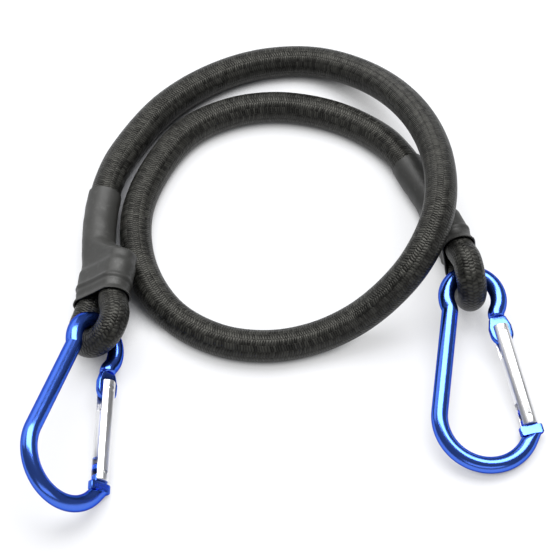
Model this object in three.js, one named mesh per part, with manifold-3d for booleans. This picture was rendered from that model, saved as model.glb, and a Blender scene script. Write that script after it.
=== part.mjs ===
// A bungee cord with a carabiner in each end, lying in one and a half turns on a level surface.
// Millimetres, Z up. The route of the cord places its eyes, and each eye places its carabiner.
import * as THREE from 'three';
import { mergeVertices } from 'three/addons/utils/BufferGeometryUtils.js';
import Module from 'manifold-3d';

const wasm = await Module();
wasm.setup();

const DEGREE = Math.PI / 180;
const cutOverrun = 1;

// Cord: a rubber core in a braided cover
const cordDiameter = 12;
const coverWall = 1.1;
const coreGap = 0.3;
const floorFlat = 0.6;
const coverSides = 12;
const boreSides = 8;
const stepsPerInterval = 2;

// Eye: the cord's end folded back round the carabiner's bar
const legGap = 0.6;
const barGap = 0.6;
const eyeFloorGap = 0.1;
const legStraight = 15;
const flareRun = 11;
const gripStationShare = 2 / 3;
const flareStationShare = 0.5;
const flareShares = [0, 0, 0.04, 0.45, 1];
const bendShares = [1, 0.7, 0.2, 0.05, 0];
const twistShares = [1, 1, 1, 0.5, 0];
const bightSteps = 4;

// Sleeve: a shrunk tube over the joint, with the crimp band under it, both squeezing the cord
const sleeveSingle = 34;
const sleeveWall = 0.4;
const sleeveGap = 0.4;
const tailEndGap = 0.9;
const sleeveShoulder = 6;
const shoulderSteps = 4;
const sleeveSides = 20;
const bandWidth = 8;
const bandThickness = 0.4;
const bandFromFlare = 2;
const bandEndGap = 0.4;
const mouthGap = 1;
const bulgeRamp = 0.6;
const squeezeRun = 7;
const shrunkShare = 0.95;
const tailEndShare = 0.93;
const crimpedShare = 0.85;
const flaringShare = 0.93;

// Carabiner: a bent round bar whose ends are pressed into flat tabs, in line with the gate
const barDiameter = 6;
const carabinerLength = 80;
const largeLobeWidth = 40;
const smallLobeWidth = 25.6;
const limbNeckShare = 0.7991978186;
const neckBendRadius = 3.3;
const barSides = 16;
const barEndChamfer = 0.8;
const tabThickness = 2.4;
const tabInBar = 2;
const tabCorner = 0.7;
const pivotTabWidth = 8.4;
const pivotBand = 3.9;
const noseTabWidth = 8.6;
const noseBand = 3.8;
const noseHookWidth = 5.4;
const noseHookLength = 4.6;
const tabSegments = 6;

// Gate: a round bar slotted at both ends, with its spring and plunger inside
const gateDiameter = 6.3;
const gateOffsetShare = 0.8941176471;
const gateNeckShare = 0.6939861891;
const noseTuck = 1.0815049077;
const gateSides = 24;
const gatePastPivot = 3.3;
const gatePastPin = 3;
const gateChamfer = 0.6;
const slotGap = 0.3;
const pivotSlotDepth = 9.3;
const noseSlotClearance = 1;
const rivetDiameter = 2.4;
const latchPinDiameter = 1.6;
const pinHoleGap = 0.3;
const pinSides = 16;
const pinCrown = 0.3;
const boreDiameter = 3.4;
const boreShare = 0.7821229050;
const plungerDiameter = 2.4;
const plungerGap = 0.3;
const plungerInBoreShare = 0.1785714286;
const springWire = 0.5;
const springPitch = 1.7333;
const springBoreGap = 0.3;
const springSteps = 8;
const springSides = 5;

// Where each eye lies: the centre of its bar, how it lies there and at the cord's tail end, in degrees,
// how the carabiner's plane is rolled, how far it has slid round the eye, and the leg left bare of sleeve
const eyes = {
  left: {
    x: -64.75,
    y: -27.8,
    atBar: { yaw: -4.5, pitch: 0, roll: 43 },
    atTail: { yaw: -8, pitch: 3, roll: 43 },
    hungRoll: 45,
    slide: 5.3,
    bareLeg: 6.5,
  },
  right: {
    x: 69.3,
    y: -9,
    atBar: { yaw: 12, pitch: 4.3, roll: 91 },
    atTail: { yaw: 26, pitch: 6, roll: 100 },
    hungRoll: 83,
    slide: 8.4,
    bareLeg: 9.2,
  },
};

// The cord's free route from the left eye to the right one: x, y and the lift over where it lies flat
const route = [
  [-66.8, 12.0, 2.1],
  [-66.4, 24.1, 1.6],
  [-64.1, 38.8, 1.5],
  [-59.2, 52.5, 0.3],
  [-44.6, 74.8, 0],
  [-26.0, 89.6, 0],
  [-5.5, 97.6, 0],
  [15.9, 97.9, 0.6],
  [36.2, 85.3, 6.5],
  [52.0, 60.8, 17.2],
  [59.7, 31.2, 26.0],
  [58.5, 5.6, 28.2],
  [50.6, -11.2, 23.0],
  [39.8, -20.0, 13.0],
  [27.3, -25.7, 4.2],
  [12.7, -30.7, 0.3],
  [-3.6, -33.6, 0],
  [-21.4, -30.9, 0],
  [-38.6, -20.1, 0],
  [-50.2, -0.4, 0],
  [-53.1, 24.1, 0],
  [-46.0, 46.7, 0],
  [-34.0, 64.0, 0],
  [-18.2, 73.0, 0],
  [-2.4, 75.9, 0],
  [12.4, 74.4, 0],
  [26.6, 69.5, 0],
  [40.0, 60.5, 0.3],
  [47.1, 51.6, 1.4],
  [53.2, 40.0, 1.7],
  [58.8, 28.4, 1.9],
];

const cordRadius = cordDiameter / 2;
const lyingHeight = cordRadius - floorFlat;
const barRadius = barDiameter / 2;
const bightRadius = barRadius + barGap + cordRadius;
const eyeLength = legStraight + flareRun;
const bandEnd = legStraight - bandFromFlare;
const bandStart = bandEnd - bandWidth;

// Small helpers

function plainMesh(name, geometry, material) {
  const mesh = new THREE.Mesh(geometry, new THREE.MeshStandardMaterial(material));
  mesh.name = name;
  return mesh;
}

function toSolid(geometry) {
  const bare = geometry.clone();
  bare.deleteAttribute('normal');
  bare.deleteAttribute('uv');
  const merged = mergeVertices(bare);
  return new wasm.Manifold(new wasm.Mesh({
    numProp: 3,
    vertProperties: new Float32Array(merged.attributes.position.array),
    triVerts: new Uint32Array(merged.index.array),
  }));
}

function toGeometry(solid) {
  const { numProp, vertProperties, triVerts } = solid.getMesh();
  const geometry = new THREE.BufferGeometry();
  geometry.setAttribute('position', new THREE.BufferAttribute(vertProperties, numProp));
  geometry.setIndex(new THREE.BufferAttribute(triVerts, 1));
  return geometry;
}

// Skins a row of equal rings. A row that wraps ends on its first ring, otherwise both ends get a cap.
function skin(rings, wraps) {
  const count = rings[0].length;
  const index = [];
  const rows = wraps ? rings.length : rings.length - 1;
  for (let row = 0; row < rows; row++) {
    const here = row * count;
    const there = ((row + 1) % rings.length) * count;
    for (let k = 0; k < count; k++) {
      const next = (k + 1) % count;
      index.push(here + k, here + next, there + next);
      index.push(here + k, there + next, there + k);
    }
  }
  if (!wraps) {
    const end = (rings.length - 1) * count;
    for (let k = 1; k < count - 1; k++) {
      index.push(0, k + 1, k);
      index.push(end, end + k, end + k + 1);
    }
  }
  const geometry = new THREE.BufferGeometry();
  geometry.setAttribute('position', new THREE.Float32BufferAttribute(
    rings.flat().flatMap((point) => point.toArray()), 3));
  geometry.setIndex(index);
  return geometry;
}

function polygon(radius, sides) {
  const points = [];
  for (let k = 0; k < sides; k++) {
    const angle = (k + 0.5) * 2 * Math.PI / sides;
    points.push(new THREE.Vector2(radius * Math.cos(angle), radius * Math.sin(angle)));
  }
  return points;
}

function smooth(share) {
  const s = THREE.MathUtils.clamp(share, 0, 1);
  return s * s * (3 - 2 * s);
}

// Eyes

// The directions of an eye: out to the carabiner, spread from the main leg to the tail leg, and across
function eyeDirections({ yaw, pitch, roll }) {
  const out = new THREE.Vector3(0, -1, 0)
    .applyAxisAngle(new THREE.Vector3(1, 0, 0), -pitch * DEGREE)
    .applyAxisAngle(new THREE.Vector3(0, 0, 1), yaw * DEGREE);
  const side = new THREE.Vector3(1, 0, 0).applyAxisAngle(new THREE.Vector3(0, 0, 1), yaw * DEGREE);
  const spread = side.applyAxisAngle(out, roll * DEGREE);
  const across = new THREE.Vector3().crossVectors(spread, out);
  return { out, spread, across };
}

function eyeFrame(eye) {
  const directions = eyeDirections(eye.atBar);
  const reach = bightRadius * Math.hypot(directions.spread.z, directions.out.z);
  const bar = new THREE.Vector3(eye.x, eye.y, cordRadius + reach + eyeFloorGap);
  const hung = eyeDirections({ ...eye.atBar, roll: eye.hungRoll });
  return { ...directions, bar, hung };
}

const legStations = [
  0,
  legStraight * gripStationShare,
  legStraight,
  legStraight + flareRun * flareStationShare,
  eyeLength,
];

// The squeezed cord's radius, as rows of distance past the tail end and share of the free radius
const squeeze = [
  [-sleeveSingle - 2 * squeezeRun, 1],
  [-sleeveSingle - squeezeRun, shrunkShare],
  [-sleeveShoulder, shrunkShare],
  [0, tailEndShare],
  [bandStart - bulgeRamp, crimpedShare],
  [legStraight, crimpedShare],
  [legStations[3], flaringShare],
  [eyeLength, 1],
];

function legRadius(along) {
  const after = squeeze.findIndex((row) => row[0] > along);
  if (after < 1) {
    return cordRadius;
  }
  const [[from, fromShare], [to, toShare]] = [squeeze[after - 1], squeeze[after]];
  return cordRadius * THREE.MathUtils.mapLinear(along, from, to, fromShare, toShare);
}

// The eye's points from the tail end, round the bight, to where the main leg passes the tail end
function eyePoints(eye, frame) {
  const turned = (bend, twist) => eyeDirections({
    yaw: THREE.MathUtils.lerp(eye.atBar.yaw, eye.atTail.yaw, bend),
    pitch: THREE.MathUtils.lerp(eye.atBar.pitch, eye.atTail.pitch, bend),
    roll: THREE.MathUtils.lerp(eye.atBar.roll, eye.atTail.roll, twist),
  });
  const tail = [];
  const main = [];
  const centre = frame.bar.clone();
  for (let i = legStations.length - 1; i >= 0; i--) {
    const pinched = legRadius(legStations[i]) + legGap / 2;
    const half = THREE.MathUtils.lerp(pinched, bightRadius, flareShares[i]);
    const { spread } = turned(bendShares[i], twistShares[i]);
    tail.unshift(centre.clone().addScaledVector(spread, half));
    main.push(centre.clone().addScaledVector(spread, -half));
    if (i > 0) {
      const { out } = turned((bendShares[i] + bendShares[i - 1]) / 2, 0);
      centre.addScaledVector(out, legStations[i - 1] - legStations[i]);
    }
  }
  const bight = [];
  for (let k = 1; k < bightSteps; k++) {
    const angle = k * Math.PI / bightSteps;
    bight.push(frame.bar.clone()
      .addScaledVector(frame.out, bightRadius * Math.sin(angle))
      .addScaledVector(frame.spread, bightRadius * Math.cos(angle)));
  }
  return [...tail, ...bight, ...main];
}

const leftFrame = eyeFrame(eyes.left);
const rightFrame = eyeFrame(eyes.right);

// Cord

// A spline whose steps keep to its control points
class CordPath extends THREE.CatmullRomCurve3 {
  getPointAt(u, target) {
    return this.getPoint(u, target);
  }

  getTangentAt(u, target) {
    return this.getTangent(u, target);
  }
}

const leftEyePoints = eyePoints(eyes.left, leftFrame);
const rightEyePoints = eyePoints(eyes.right, rightFrame).reverse();
const cordPoints = [
  ...leftEyePoints,
  ...route.map(([x, y, lift]) => new THREE.Vector3(x, y, lyingHeight + lift)),
  ...rightEyePoints,
];
const cordPath = new CordPath(cordPoints);
const cordIntervals = cordPoints.length - 1;

// Samples of the route with their distance from the left tail end
const samplesPerInterval = 16;
const samples = [];
for (let i = 0; i <= cordIntervals * samplesPerInterval; i++) {
  const u = i / (cordIntervals * samplesPerInterval);
  const point = cordPath.getPoint(u);
  const before = samples[i - 1];
  const length = before ? before.length + before.point.distanceTo(point) : 0;
  samples.push({ u, point, length });
}
const cordLength = samples[samples.length - 1].length;

// The route's point and direction at a distance from the left tail end
function cordStation(length) {
  const after = Math.max(1, samples.findIndex((sample) => sample.length >= length));
  const a = samples[after - 1];
  const b = samples[after];
  const u = THREE.MathUtils.lerp(a.u, b.u, (length - a.length) / (b.length - a.length));
  return { point: cordPath.getPoint(u), tangent: cordPath.getTangent(u) };
}

// The cord's radius at a distance from the left tail end, squeezed on both legs of both eyes
const leftMainStart = samples[(leftEyePoints.length - 1) * samplesPerInterval].length;
const rightMainStart = samples[(cordIntervals - rightEyePoints.length + 1) * samplesPerInterval].length;

function radiusAt(length) {
  const alongs = [length, leftMainStart - length, length - rightMainStart, cordLength - length];
  return Math.min(...alongs.map(legRadius));
}

function leastSelfGap() {
  for (const sample of samples) {
    sample.radius = radiusAt(sample.length);
  }
  let least = Infinity;
  for (const a of samples) {
    for (const b of samples) {
      if (b.length - a.length > 2 * cordDiameter) {
        least = Math.min(least, a.point.distanceTo(b.point) - a.radius - b.radius);
      }
    }
  }
  return least;
}

// A round tube along the cord, inset from its surface, its ends moved out by an overrun
function cordTube(inset, sides, overrun) {
  const steps = cordIntervals * stepsPerInterval;
  const { tangents, normals, binormals } = cordPath.computeFrenetFrames(steps, false);
  const rings = tangents.map((tangent, i) => {
    const past = overrun * ((i === steps) - (i === 0));
    const centre = cordPath.getPoint(i / steps).addScaledVector(tangent, past);
    const radius = radiusAt(samples[i * samplesPerInterval / stepsPerInterval].length) - inset;
    return polygon(radius, sides).map(({ x, y }) => centre.clone()
      .addScaledVector(normals[i], x).addScaledVector(binormals[i], y));
  });
  return skin(rings, false);
}

function coverGeometry() {
  const box = new THREE.Box3().setFromPoints(cordPoints).expandByScalar(cordDiameter);
  const size = box.getSize(new THREE.Vector3());
  const centre = box.getCenter(new THREE.Vector3());
  const floor = new THREE.BoxGeometry(size.x, size.y, cordDiameter)
    .translate(centre.x, centre.y, -cordDiameter / 2);
  return toGeometry(toSolid(cordTube(0, coverSides, 0))
    .subtract(toSolid(cordTube(coverWall, boreSides, cutOverrun)))
    .subtract(toSolid(floor)));
}

function coreGeometry() {
  return cordTube(coverWall + coreGap, boreSides, 0);
}

// Sleeves and bands

// The main leg beside a point of the tail leg, as points, the direction out and the way to the tail leg
function legPair(along, mainStation, tailStation, mainTurn) {
  const main = mainStation(along);
  const tail = tailStation(Math.max(along, 0));
  const beside = mainStation(Math.max(along, 0));
  const out = main.tangent.clone().multiplyScalar(mainTurn)
    .addScaledVector(tail.tangent, -mainTurn * smooth(1 + along / sleeveShoulder)).normalize();
  const gap = tail.point.clone().sub(beside.point);
  gap.addScaledVector(tail.tangent, -gap.dot(out) / tail.tangent.dot(out));
  const mainStretch = 1 / Math.abs(main.tangent.dot(out));
  const tailStretch = 1 / Math.abs(tail.tangent.dot(out));
  return {
    point: main.point, out, toTail: gap.clone().normalize(), spread: gap.length(), mainStretch, tailStretch,
  };
}

const sides = {
  left: (along) => legPair(along, (a) => cordStation(leftMainStart - a), cordStation, -1),
  right: (along) => legPair(
    along, (a) => cordStation(rightMainStart + a), (a) => cordStation(cordLength - a), 1),
};

// A ring round one leg, or round both by a share of their spread
function legRing(pair, spreadShare, radius) {
  const upright = new THREE.Vector3().crossVectors(pair.out, pair.toTail);
  const ring = [];
  for (let k = 0; k < sleeveSides; k++) {
    const angle = (k + 0.5) * 2 * Math.PI / sleeveSides;
    const onTail = Math.cos(angle) > 0;
    const shift = onTail ? pair.spread * spreadShare : 0;
    const stretch = onTail ? pair.tailStretch : pair.mainStretch;
    ring.push(pair.point.clone()
      .addScaledVector(pair.toTail, shift + radius * stretch * Math.cos(angle))
      .addScaledVector(upright, radius * Math.sin(angle)));
  }
  return ring;
}

// Rows of along, spread share, gap to the legs and wall, skinned into one closed wall
function legWall(side, rows) {
  const ringAt = (row, extra) => legRing(
    sides[side](row.along), row.share, legRadius(row.along) + row.gap + extra);
  const outer = rows.map((row) => ringAt(row, row.wall));
  const inner = rows.map((row) => ringAt(row, 0));
  return skin([...outer, ...inner.reverse()], true);
}

function sleeveGeometry(side) {
  const rows = [];
  const addRow = (along, share, gap) => rows.push({ along, share, gap, wall: sleeveWall });
  const plainSteps = 5;
  for (let k = 0; k < plainSteps; k++) {
    addRow(THREE.MathUtils.lerp(-sleeveSingle, -sleeveShoulder, k / plainSteps), 0, sleeveGap);
  }
  for (let k = 0; k <= shoulderSteps; k++) {
    const share = k / shoulderSteps;
    addRow(THREE.MathUtils.lerp(-sleeveShoulder, -tailEndGap, share), smooth(share), sleeveGap);
  }
  const overBand = sleeveGap + bandThickness + sleeveGap;
  addRow(bandStart / 2, 1, sleeveGap);
  addRow(bandStart - bandEndGap - bulgeRamp, 1, sleeveGap);
  addRow(bandStart - bandEndGap, 1, overBand);
  addRow(bandEnd + bandEndGap, 1, overBand);
  addRow(bandEnd + bandEndGap + bulgeRamp, 1, sleeveGap);
  addRow(legStraight, 1, (sleeveGap + mouthGap) / 2);
  const mouth = eyeLength - eyes[side].bareLeg;
  addRow((legStraight + mouth) / 2, 1, mouthGap);
  addRow(mouth, 1, mouthGap);
  return legWall(side, rows);
}

function bandGeometry(side) {
  return legWall(side, [bandStart, bandEnd].map((along) => (
    { along, share: 1, gap: sleeveGap, wall: bandThickness })));
}

// Carabiner body, drawn with X to the gate side, Y to the small lobe and Z through the opening

const largeRadius = (largeLobeWidth - barDiameter) / 2;
const smallRadius = (smallLobeWidth - barDiameter) / 2;
const lobeSpacing = carabinerLength - barDiameter - largeRadius - smallRadius;
const smallCentre = new THREE.Vector2(0, lobeSpacing);
// The limb and the gate lean from the large lobe to their places beside the small one
const limbLean = Math.asin((largeRadius - limbNeckShare * smallRadius) / lobeSpacing);
const gateOffset = gateOffsetShare * largeRadius;
const gateLean = Math.asin((gateOffset - gateNeckShare * smallRadius) / lobeSpacing);
const gateAngle = gateLean - Math.PI / 2;

// A point of the gate's axis, from its height over the large lobe's centre
function onGateAxis(height) {
  return new THREE.Vector2(-height, gateOffset).rotateAround(new THREE.Vector2(), gateAngle);
}

// The height where a bend leaving the small lobe runs into a straight line at a distance from its centre
function bendHeight(centreHeight, distance) {
  return centreHeight - Math.sqrt((smallRadius + neckBendRadius) ** 2 - (distance + neckBendRadius) ** 2);
}

const gateUp = onGateAxis(1).sub(onGateAxis(0));
const gateOut = onGateAxis(0).normalize();
const pivotStep = bendHeight(smallCentre.dot(gateUp), gateOffset - smallCentre.dot(gateOut));
const gateTop = pivotStep - pivotBand;
const noseStep = -Math.sqrt(largeRadius ** 2 - gateOffset ** 2) - noseTuck;
const gateBottom = noseStep + noseBand;
const pivotPoint = onGateAxis(gateTop - gatePastPivot);
const pinPoint = onGateAxis(gateBottom + gatePastPin);
const pinDistance = pivotPoint.distanceTo(pinPoint);

// Stations along the bar's centre line, from the nose to the pivot, as point and heading
function barCentreline() {
  const stations = [];
  const addArc = (centre, radius, from, to, turn, steps, skipped) => {
    for (let k = skipped; k <= steps; k++) {
      const angle = THREE.MathUtils.lerp(from, to, k / steps);
      const point = new THREE.Vector2(radius, 0).rotateAround(new THREE.Vector2(), angle).add(centre);
      stations.push({ point, heading: angle + turn * Math.PI / 2 });
    }
  };
  const limbUp = new THREE.Vector2(Math.sin(limbLean), Math.cos(limbLean));
  const limbOut = new THREE.Vector2(-Math.cos(limbLean), Math.sin(limbLean));
  const bendSteps = 3;
  const lobeSteps = 13;

  const nose = onGateAxis(noseStep);
  const noseStart = Math.atan2(nose.y, nose.x) - barDiameter / 2 / largeRadius;
  stations.push({ point: nose, heading: gateAngle });
  addArc(new THREE.Vector2(), largeRadius, noseStart, -Math.PI - limbLean, -1, lobeSteps, 0);

  const limbEnd = bendHeight(smallCentre.dot(limbUp), largeRadius - smallCentre.dot(limbOut));
  const limbBend = limbUp.clone().multiplyScalar(limbEnd)
    .addScaledVector(limbOut, largeRadius + neckBendRadius);
  const limbTouch = limbBend.clone().sub(smallCentre).angle();
  addArc(limbBend, neckBendRadius, -limbLean, limbTouch - Math.PI, 1, bendSteps, 0);

  const gateBend = onGateAxis(pivotStep).addScaledVector(gateOut, neckBendRadius);
  const gateTouch = gateBend.clone().sub(smallCentre).angle() - 2 * Math.PI;
  addArc(smallCentre, smallRadius, limbTouch, gateTouch, -1, lobeSteps, 1);
  addArc(gateBend, neckBendRadius, gateTouch + Math.PI, gateLean + Math.PI, 1, bendSteps, 1);
  return stations;
}

function barRing({ point, heading }, radius) {
  const across = new THREE.Vector3(-Math.sin(heading), Math.cos(heading), 0);
  return polygon(radius, barSides).map(({ x, y }) => (
    new THREE.Vector3(point.x, point.y, y).addScaledVector(across, x)));
}

// A flat tab drawn along the gate, placed at a point of the gate's axis
function tabSolid(outline, point) {
  const tab = new THREE.ExtrudeGeometry(outline, {
    depth: tabThickness, bevelEnabled: false, curveSegments: tabSegments,
  });
  return toSolid(tab.translate(0, 0, -tabThickness / 2).rotateZ(gateAngle).translate(point.x, point.y, 0));
}

function pivotTab() {
  const radius = pivotTabWidth / 2;
  const back = -(pivotStep - gateTop) - gatePastPivot - tabInBar;
  const neck = barRadius - tabCorner;
  const outline = new THREE.Shape()
    .moveTo(back, -neck)
    .lineTo(-radius, -radius + tabCorner)
    .lineTo(0, -radius)
    .absarc(0, 0, radius, -Math.PI / 2, Math.PI / 2, false)
    .lineTo(-radius, radius - tabCorner)
    .lineTo(back, neck);
  return tabSolid(outline, pivotPoint);
}

// The nose's tab: a broad collar under the gate's end, and a hook that reaches into the gate's slot
function noseTab() {
  const collar = noseTabWidth / 2;
  const hook = noseHookWidth / 2;
  const collarTop = gatePastPin + slotGap;
  const step = gatePastPin + noseBand;
  const back = step + tabInBar;
  const neck = barRadius - tabCorner;
  const outline = new THREE.Shape()
    .moveTo(back, neck)
    .lineTo(step, neck)
    .absarc(step - tabCorner, collar - tabCorner, tabCorner, 0, Math.PI / 2, false)
    .absarc(collarTop + tabCorner, collar - tabCorner, tabCorner, Math.PI / 2, Math.PI, false)
    .lineTo(collarTop, hook)
    .lineTo(hook - noseHookLength, hook)
    .absarc(hook - noseHookLength, 0, hook, Math.PI / 2, 3 * Math.PI / 2, false)
    .lineTo(collarTop, -hook)
    .absarc(collarTop + tabCorner, tabCorner - collar, tabCorner, Math.PI, 3 * Math.PI / 2, false)
    .absarc(step - tabCorner, tabCorner - collar, tabCorner, 3 * Math.PI / 2, 2 * Math.PI, false)
    .lineTo(step, -neck)
    .lineTo(back, -neck);
  return tabSolid(outline, pinPoint);
}

// The slot that the latch pin leaves the nose's hook by, along the chord of its swing
function noseNotch() {
  const radius = latchPinDiameter / 2 + pinHoleGap;
  const reach = noseHookWidth / 2 + cutOverrun;
  const outline = new THREE.Shape()
    .moveTo(0, radius)
    .absarc(0, 0, radius, Math.PI / 2, -Math.PI / 2, true)
    .lineTo(-reach, -radius)
    .lineTo(-reach, radius);
  const notch = new THREE.ExtrudeGeometry(outline, {
    depth: barDiameter, bevelEnabled: false, curveSegments: tabSegments,
  });
  return toSolid(notch.translate(0, 0, -barDiameter / 2)
    .rotateZ(gateLean - reach / (2 * pinDistance))
    .translate(pinPoint.x, pinPoint.y, 0));
}

function carabinerGeometry() {
  const stations = barCentreline();
  const rings = stations.map((station) => barRing(station, barRadius));
  const first = stations[0];
  const last = stations[stations.length - 1];
  const chamferRing = ({ point, heading }, direction) => barRing({
    point: new THREE.Vector2(barEndChamfer * direction, 0)
      .rotateAround(new THREE.Vector2(), heading).add(point),
    heading,
  }, barRadius - barEndChamfer);
  const bar = toSolid(skin([chamferRing(first, -1), ...rings, chamferRing(last, 1)], false));
  const rivetHole = new THREE.CylinderGeometry(
    rivetDiameter / 2 + pinHoleGap, rivetDiameter / 2 + pinHoleGap, barDiameter, pinSides)
    .rotateX(Math.PI / 2).translate(pivotPoint.x, pivotPoint.y, 0);
  return toGeometry(bar.add(pivotTab()).add(noseTab())
    .subtract(toSolid(rivetHole)).subtract(noseNotch()));
}

// Gate and what it holds, drawn with X from the rivet to the nose and Z through the opening

const gateRadius = gateDiameter / 2;
const gateEnd = pinDistance + gatePastPin;
const slotWidth = tabThickness + 2 * slotGap;
const noseSlotStart = pinDistance - noseHookLength - noseSlotClearance;
const boreDepth = boreShare * (noseSlotStart - pivotSlotDepth);
const boreEnd = pivotSlotDepth + boreDepth;

function lathe(profile, sides) {
  return new THREE.LatheGeometry(profile.map(([r, y]) => new THREE.Vector2(r, y)), sides)
    .rotateZ(-Math.PI / 2);
}

function gateGeometry() {
  const profile = [
    [0, -gatePastPivot], [gateRadius - gateChamfer, -gatePastPivot],
    [gateRadius, gateChamfer - gatePastPivot], [gateRadius, gateEnd - gateChamfer],
    [gateRadius - gateChamfer, gateEnd], [0, gateEnd],
  ];
  const cuts = [];
  const slotCut = (from, to) => {
    cuts.push(new THREE.BoxGeometry(to - from, gateDiameter + cutOverrun, slotWidth)
      .translate((from + to) / 2, 0, 0));
  };
  slotCut(-gatePastPivot - cutOverrun, pivotSlotDepth);
  slotCut(noseSlotStart, gateEnd + cutOverrun);
  cuts.push(new THREE.CylinderGeometry(
    boreDiameter / 2, boreDiameter / 2, boreDepth + cutOverrun, pinSides)
    .rotateZ(-Math.PI / 2).translate(pivotSlotDepth + (boreDepth - cutOverrun) / 2, 0, 0));
  for (const [diameter, along] of [[rivetDiameter, 0], [latchPinDiameter, pinDistance]]) {
    const radius = diameter / 2 + pinHoleGap;
    cuts.push(new THREE.CylinderGeometry(radius, radius, gateDiameter + cutOverrun, pinSides)
      .rotateX(Math.PI / 2).translate(along, 0, 0));
  }
  let gate = toSolid(lathe(profile, gateSides));
  for (const cut of cuts) {
    gate = gate.subtract(toSolid(cut));
  }
  return toGeometry(gate);
}

// A pin through the gate, its ends crowned just inside the gate's surface
function pinGeometry(diameter) {
  const radius = diameter / 2;
  const half = Math.sqrt(gateRadius ** 2 - radius ** 2);
  const crown = Math.min(pinCrown, radius / 2);
  return lathe([
    [0, -half], [radius - crown, -half], [radius, crown - half],
    [radius, half - crown], [radius - crown, half], [0, half],
  ], pinSides).rotateY(Math.PI / 2);
}

const plungerStart = pivotTabWidth / 2 + plungerGap;
const plungerEnd = pivotSlotDepth + plungerInBoreShare * boreDepth;

function plungerGeometry() {
  const radius = plungerDiameter / 2;
  return lathe([
    [0, plungerStart], [radius - pinCrown, plungerStart], [radius, plungerStart + pinCrown],
    [radius, plungerEnd], [0, plungerEnd],
  ], pinSides);
}

const springStart = plungerEnd + plungerGap + springWire / 2;
const springEnd = boreEnd - plungerGap - springWire / 2;
const springTurns = Math.max(1, Math.round((springEnd - springStart) / springPitch));

class SpringPath extends THREE.Curve {
  getPoint(t) {
    const radius = boreDiameter / 2 - springBoreGap - springWire / 2;
    const angle = t * springTurns * 2 * Math.PI;
    return new THREE.Vector3(
      THREE.MathUtils.lerp(springStart, springEnd, t), radius * Math.cos(angle), radius * Math.sin(angle));
  }
}

function springGeometry() {
  return new THREE.ExtrudeGeometry(new THREE.Shape(polygon(springWire / 2, springSides)), {
    steps: springTurns * springSteps,
    extrudePath: new SpringPath(),
  });
}

// Materials

const coverLook = { color: 0x24241f, roughness: 0.75, metalness: 0 };
const coreLook = { color: 0x8a8068, roughness: 0.9, metalness: 0 };
const sleeveLook = { color: 0x3f3f3d, roughness: 0.6, metalness: 0 };
const blueLook = { color: 0x1f4fc4, roughness: 0.3, metalness: 0.9 };
const silverLook = { color: 0xcfd2d6, roughness: 0.3, metalness: 0.9 };
const steelLook = { color: 0xa7aaad, roughness: 0.4, metalness: 0.9 };

// Assembly

function gateGroup(side) {
  const group = new THREE.Group();
  group.position.set(pivotPoint.x, pivotPoint.y, 0);
  group.rotation.z = gateAngle;
  const latchPin = plainMesh(`${side}_gate_latch_pin`, pinGeometry(latchPinDiameter), steelLook);
  latchPin.position.x = pinDistance;
  group.add(
    plainMesh(`${side}_gate`, gateGeometry(), silverLook),
    latchPin,
    plainMesh(`${side}_gate_spring`, springGeometry(), steelLook),
    plainMesh(`${side}_spring_plunger`, plungerGeometry(), steelLook),
  );
  return group;
}

function carabinerGroup(side) {
  const group = new THREE.Group();
  const rivet = plainMesh(`${side}_pivot_rivet`, pinGeometry(rivetDiameter), silverLook);
  rivet.position.set(pivotPoint.x, pivotPoint.y, 0);
  group.add(plainMesh(`${side}_carabiner_body`, carabinerGeometry(), blueLook), rivet, gateGroup(side));
  return group;
}

// Hangs a carabiner in its eye and lowers its far end until it touches the surface
function hungCarabiner(side, frame, slide) {
  const { out, spread, across } = frame.hung;
  const carabiner = carabinerGroup(side);
  const x = across.clone().multiplyScalar(Math.cos(slide)).addScaledVector(out, Math.sin(slide));
  const y = across.clone().multiplyScalar(Math.sin(slide)).addScaledVector(out, -Math.cos(slide));
  carabiner.quaternion.setFromRotationMatrix(new THREE.Matrix4().makeBasis(x, y, spread));
  carabiner.position.copy(out).multiplyScalar(smallRadius).addScaledVector(y, -lobeSpacing);
  const hinge = new THREE.Group();
  hinge.position.copy(frame.bar);
  hinge.add(carabiner);
  let high = -10 * DEGREE;
  let low = 30 * DEGREE;
  while (low - high > 1e-6) {
    const middle = (low + high) / 2;
    hinge.quaternion.setFromAxisAngle(frame.across, middle);
    const lowest = new THREE.Box3().setFromObject(hinge, true).min.z;
    if (lowest < 0) {
      low = middle;
    } else {
      high = middle;
    }
  }
  console.log(`${side} carabiner lowered by ${(high / DEGREE).toFixed(2)} degrees`);
  return hinge;
}

const fittings = new THREE.Group();
for (const [side, frame] of [['left', leftFrame], ['right', rightFrame]]) {
  fittings.add(
    plainMesh(`${side}_sleeve`, sleeveGeometry(side), sleeveLook),
    plainMesh(`${side}_crimp_band`, bandGeometry(side), steelLook),
    hungCarabiner(side, frame, eyes[side].slide * DEGREE),
  );
}

const bungee = new THREE.Group();
bungee.add(
  plainMesh('cord_cover', coverGeometry(), coverLook),
  plainMesh('rubber_core', coreGeometry(), coreLook),
  fittings,
);

// The origin lies on the surface, under the middle of the end fittings
const middle = new THREE.Box3().setFromObject(fittings, true).getCenter(new THREE.Vector3());
bungee.position.set(-middle.x, -middle.y, 0);
bungee.updateMatrixWorld(true);

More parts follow.
